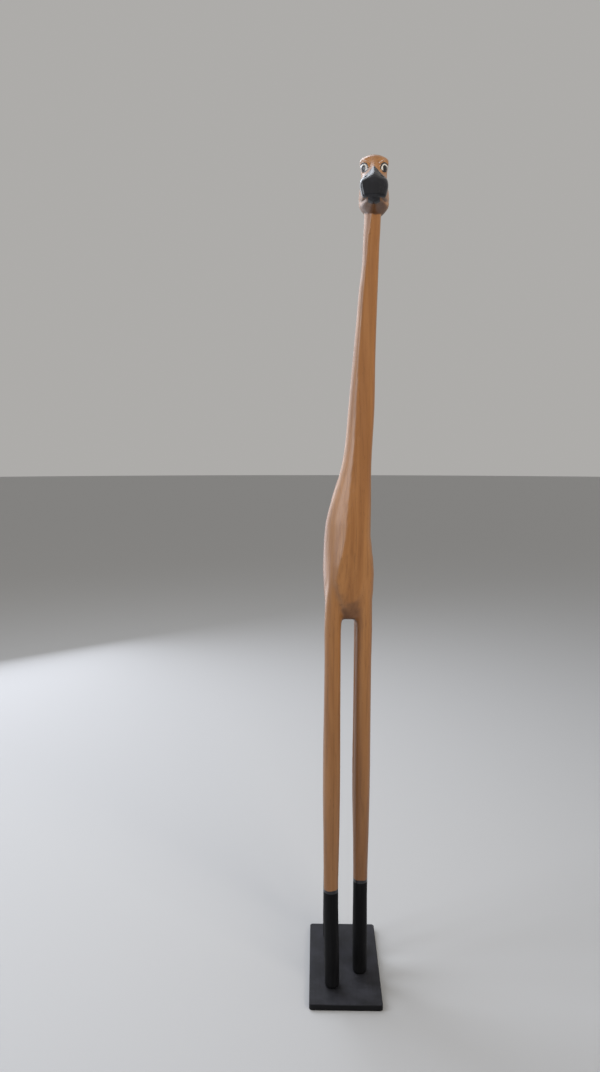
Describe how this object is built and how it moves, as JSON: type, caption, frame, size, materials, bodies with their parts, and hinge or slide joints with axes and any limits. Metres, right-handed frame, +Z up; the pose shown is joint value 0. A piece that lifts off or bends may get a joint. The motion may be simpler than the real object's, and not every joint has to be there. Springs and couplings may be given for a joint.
{
  "type": "carved camel statue",
  "caption": "Tall, slim carved wooden camel in a walking pose with a long neck, single hump and painted legs and muzzle, standing on a thin rectangular board.",
  "frame": {"origin": "middle of the plinth's underside, on the floor", "axes": "+Z up; the camel looks along -Y; +X is on the right of someone who faces it"},
  "size_m": [0.1601, 0.3, 1.8003],
  "materials": {
    "varnished_wood": "satin varnish over golden brown wood, with black paint on the lower legs and muzzle",
    "black_board": "flat black paint, slightly dusty"
  },
  "bodies": {
    "root": {"camel": "varnished_wood", "plinth": "black_board"}
  },
  "joints": []
}
